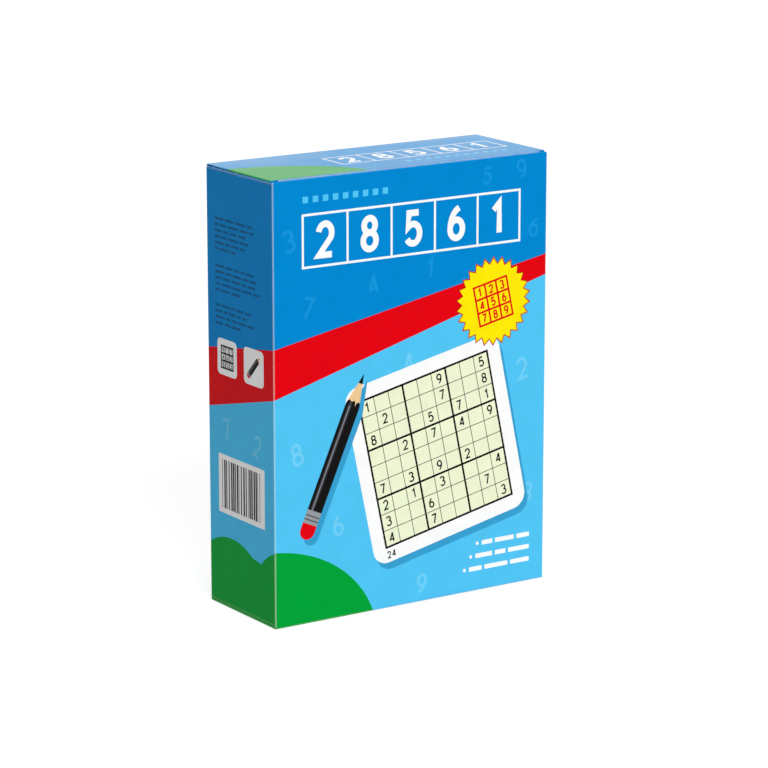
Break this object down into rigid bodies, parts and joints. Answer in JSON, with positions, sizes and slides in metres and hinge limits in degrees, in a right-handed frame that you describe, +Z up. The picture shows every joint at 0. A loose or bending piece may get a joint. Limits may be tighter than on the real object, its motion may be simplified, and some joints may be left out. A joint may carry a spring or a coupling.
{
  "type": "boxed sudoku game",
  "caption": "Upright tuck-top carton, printed in blue, red and green, that holds square wipe-clean sudoku boards, a folded leaflet and a dry-wipe marker with an eraser cap.",
  "frame": {"origin": "middle of the carton's underside", "axes": "+Z up along the carton's height, +X to the right as the front is seen, and the front faces -Y"},
  "size_m": [0.124, 0.047, 0.17],
  "materials": {
    "printed_board": "offset-printed folding boxboard under gloss varnish",
    "plain_board": "unprinted white-lined folding boxboard",
    "game_board": "printed greyboard under a wipe-clean gloss film",
    "leaflet_paper": "uncoated printing paper",
    "white_plastic": "gloss moulded plastic",
    "grey_plastic": "satin moulded plastic",
    "black_plastic": "satin moulded plastic",
    "nib_fibre": "pressed fibre soaked with ink",
    "ink_fibre": "fibre rod soaked with ink",
    "eraser_felt": "dense felt"
  },
  "bodies": {
    "carton": {"front_panel": "printed_board", "back_panel": "printed_board", "left_panel": "printed_board", "right_panel": "printed_board", "glue_flap": "plain_board", "bottom_outer_flap": "printed_board", "bottom_inner_flap": "plain_board", "bottom_dust_flap_left": "plain_board", "bottom_dust_flap_right": "plain_board"},
    "lid": {"top_lid": "printed_board"},
    "tuck_flap": {"lid_tuck_flap": "printed_board"},
    "left_dust_flap": {"dust_flap_left": "plain_board"},
    "right_dust_flap": {"dust_flap_right": "plain_board"},
    "leaflet": {"rules_leaflet": "leaflet_paper"},
    "marker": {"marker_barrel": "white_plastic", "marker_end_plug": "black_plastic", "marker_reservoir": "ink_fibre", "marker_nib_section": "grey_plastic", "marker_nib": "nib_fibre"},
    "cap": {"marker_cap": "black_plastic", "marker_eraser": "eraser_felt"},
    "board_01": {"sudoku_board_01": "game_board"},
    "board_02": {"sudoku_board_02": "game_board"},
    "board_03": {"sudoku_board_03": "game_board"},
    "board_04": {"sudoku_board_04": "game_board"},
    "board_05": {"sudoku_board_05": "game_board"},
    "board_06": {"sudoku_board_06": "game_board"},
    "board_07": {"sudoku_board_07": "game_board"},
    "board_08": {"sudoku_board_08": "game_board"},
    "board_09": {"sudoku_board_09": "game_board"},
    "board_10": {"sudoku_board_10": "game_board"},
    "board_11": {"sudoku_board_11": "game_board"},
    "board_12": {"sudoku_board_12": "game_board"},
    "board_13": {"sudoku_board_13": "game_board"},
    "board_14": {"sudoku_board_14": "game_board"},
    "board_15": {"sudoku_board_15": "game_board"},
    "board_16": {"sudoku_board_16": "game_board"}
  },
  "joints": [
    {"name": "lid_hinge", "type": "hinge", "parent": "carton", "child": "lid", "pos_m": [0, 0.0232, 0.1697], "axis": [-1, 0, 0], "range_deg": [0, 180]},
    {"name": "tuck_fold", "type": "hinge", "parent": "lid", "child": "tuck_flap", "pos_m": [0, -0.0223, 0.1697], "axis": [-1, 0, 0], "range_deg": [0, 45]},
    {"name": "left_dust_flap_fold", "type": "hinge", "parent": "carton", "child": "left_dust_flap", "pos_m": [-0.0617, 0, 0.169], "axis": [0, -1, 0], "range_deg": [0, 100]},
    {"name": "right_dust_flap_fold", "type": "hinge", "parent": "carton", "child": "right_dust_flap", "pos_m": [0.0617, 0, 0.169], "axis": [0, 1, 0], "range_deg": [0, 100]},
    {"name": "leaflet_lift", "type": "slide", "parent": "carton", "child": "leaflet", "axis": [0, 0, 1], "range_m": [0, 0.018]},
    {"name": "marker_lift", "type": "slide", "parent": "carton", "child": "marker", "axis": [0, 0, 1], "range_m": [0, 0.014]},
    {"name": "marker_cap_pull", "type": "slide", "parent": "marker", "child": "cap", "axis": [0, 0, 1], "range_m": [0, 0.024]},
    {"name": "sudoku_board_01_lift", "type": "slide", "parent": "carton", "child": "board_01", "axis": [0, 0, 1], "range_m": [0, 0.048]},
    {"name": "sudoku_board_02_lift", "type": "slide", "parent": "carton", "child": "board_02", "axis": [0, 0, 1], "range_m": [0, 0.048]},
    {"name": "sudoku_board_03_lift", "type": "slide", "parent": "carton", "child": "board_03", "axis": [0, 0, 1], "range_m": [0, 0.048]},
    {"name": "sudoku_board_04_lift", "type": "slide", "parent": "carton", "child": "board_04", "axis": [0, 0, 1], "range_m": [0, 0.048]},
    {"name": "sudoku_board_05_lift", "type": "slide", "parent": "carton", "child": "board_05", "axis": [0, 0, 1], "range_m": [0, 0.048]},
    {"name": "sudoku_board_06_lift", "type": "slide", "parent": "carton", "child": "board_06", "axis": [0, 0, 1], "range_m": [0, 0.048]},
    {"name": "sudoku_board_07_lift", "type": "slide", "parent": "carton", "child": "board_07", "axis": [0, 0, 1], "range_m": [0, 0.048]},
    {"name": "sudoku_board_08_lift", "type": "slide", "parent": "carton", "child": "board_08", "axis": [0, 0, 1], "range_m": [0, 0.048]},
    {"name": "sudoku_board_09_lift", "type": "slide", "parent": "carton", "child": "board_09", "axis": [0, 0, 1], "range_m": [0, 0.048]},
    {"name": "sudoku_board_10_lift", "type": "slide", "parent": "carton", "child": "board_10", "axis": [0, 0, 1], "range_m": [0, 0.048]},
    {"name": "sudoku_board_11_lift", "type": "slide", "parent": "carton", "child": "board_11", "axis": [0, 0, 1], "range_m": [0, 0.048]},
    {"name": "sudoku_board_12_lift", "type": "slide", "parent": "carton", "child": "board_12", "axis": [0, 0, 1], "range_m": [0, 0.048]},
    {"name": "sudoku_board_13_lift", "type": "slide", "parent": "carton", "child": "board_13", "axis": [0, 0, 1], "range_m": [0, 0.048]},
    {"name": "sudoku_board_14_lift", "type": "slide", "parent": "carton", "child": "board_14", "axis": [0, 0, 1], "range_m": [0, 0.048]},
    {"name": "sudoku_board_15_lift", "type": "slide", "parent": "carton", "child": "board_15", "axis": [0, 0, 1], "range_m": [0, 0.048]},
    {"name": "sudoku_board_16_lift", "type": "slide", "parent": "carton", "child": "board_16", "axis": [0, 0, 1], "range_m": [0, 0.048]}
  ],
  "couplings": [
    {"joint": "tuck_fold", "follows": "lid_hinge", "ratio": 0.24},
    {"joint": "left_dust_flap_fold", "follows": "lid_hinge", "ratio": 0.54},
    {"joint": "right_dust_flap_fold", "follows": "lid_hinge", "ratio": 0.54}
  ]
}
